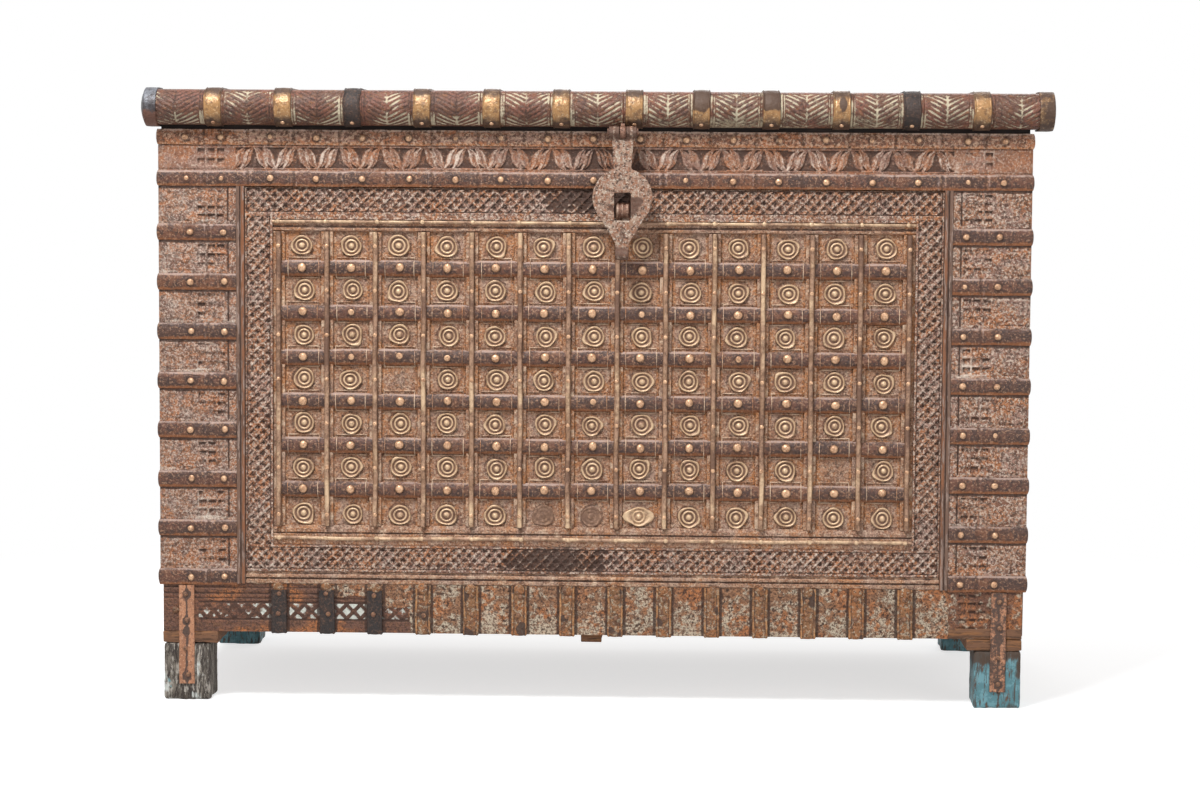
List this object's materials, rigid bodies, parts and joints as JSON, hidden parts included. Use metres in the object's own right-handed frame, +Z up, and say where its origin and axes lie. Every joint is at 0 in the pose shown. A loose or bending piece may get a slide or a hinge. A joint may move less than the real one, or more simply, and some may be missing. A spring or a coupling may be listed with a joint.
{
  "type": "storage chest",
  "caption": "Carved wooden dowry chest on block legs, studded with brass and bound with iron straps, with a round-nosed hinged lid and a hanging hasp over a staple.",
  "frame": {"origin": "centre of the bounding box's footprint, on the floor under the chest", "axes": "+X to the right as you face the carved front, -Y out of the carved front, +Z up"},
  "size_m": [1.495, 0.7108, 1.02],
  "materials": {
    "leg_grey": "bare weathered hardwood, traces of old paint",
    "leg_blue": "old turquoise paint, rubbed through to the wood",
    "bare_wood": "bare old hardwood, end grain",
    "carved_wood": "carved hardwood with pale residue in the cuts",
    "panel_wood": "dark red hardwood, waxed and worn",
    "rail_wood": "red hardwood with patches of pale corroded sheet",
    "dark_wood": "dark moulding, nearly black",
    "plank_wood": "plain old planks, matt",
    "lid_wood": "dark red carved hardwood with pale green residue",
    "iron": "hand-forged iron strap, brown patina",
    "black_iron": "blackened iron",
    "rusty_iron": "thin sheet strap, rust and pale corrosion",
    "copper": "old copper sheet, brown in the middle",
    "brass": "polished brass, tarnished at the edges",
    "brass_nail": "domed brass, rubbed bright",
    "hasp_iron": "forged iron with pale scale and rust freckles"
  },
  "bodies": {
    "chest": {"left_front_leg": "leg_grey", "right_front_leg": "leg_blue", "left_rear_leg": "leg_blue", "right_rear_leg": "leg_blue", "left_bearer": "bare_wood", "right_bearer": "bare_wood", "center_bearer": "bare_wood", "packing_strip": "bare_wood", "floor_boards": "plank_wood", "left_side_panel": "plank_wood", "right_side_panel": "plank_wood", "back_panel": "plank_wood", "left_stile": "carved_wood", "right_stile": "carved_wood", "frieze_rail": "carved_wood", "bottom_rail": "rail_wood", "front_panel": "panel_wood", "side_beads": "dark_wood", "upper_lattice_board": "carved_wood", "lower_lattice_board": "carved_wood", "left_lattice_board": "carved_wood", "right_lattice_board": "carved_wood", "panel_mouldings": "panel_wood", "frame_rods": "brass", "panel_ribs": "panel_wood", "rib_rods": "brass", "rib_nails": "brass_nail", "panel_straps": "iron", "panel_nails": "brass_nail", "ring_bosses": "brass", "leaf_boss": "brass", "upper_frieze_strap": "iron", "lower_frieze_strap": "iron", "frieze_nails": "brass_nail", "left_corner_straps": "iron", "right_corner_straps": "iron", "rear_corner_straps": "iron", "corner_nails": "brass_nail", "rail_iron_straps": "black_iron", "rail_copper_straps": "rusty_iron", "left_leg_strap": "copper", "right_leg_strap": "copper", "rail_nails": "brass_nail", "staple": "hasp_iron", "hinge_back_leaves": "black_iron", "hinge_pins": "black_iron"},
    "lid": {"lid_board": "lid_wood", "lid_front_plank": "lid_wood", "lid_cross_rails": "plank_wood", "lid_side_rails": "plank_wood", "lid_brass_bands": "brass", "lid_iron_bands": "black_iron", "left_end_cap": "black_iron", "right_end_cap": "black_iron", "lid_nails": "brass_nail", "hinge_lid_leaves": "black_iron", "hasp_eye": "hasp_iron", "hasp_pin": "black_iron"},
    "hasp": {"hasp_plate": "hasp_iron"}
  },
  "joints": [
    {"name": "lid_hinge", "type": "hinge", "parent": "chest", "child": "lid", "pos_m": [0, 0.3474, 0.95], "axis": [-1, 0, 0], "range_deg": [0, 100]},
    {"name": "hasp_hinge", "type": "hinge", "parent": "lid", "child": "hasp", "pos_m": [0.0435, -0.3399, 0.9485], "axis": [-1, 0, 0], "range_deg": [-7.5, 150]}
  ]
}
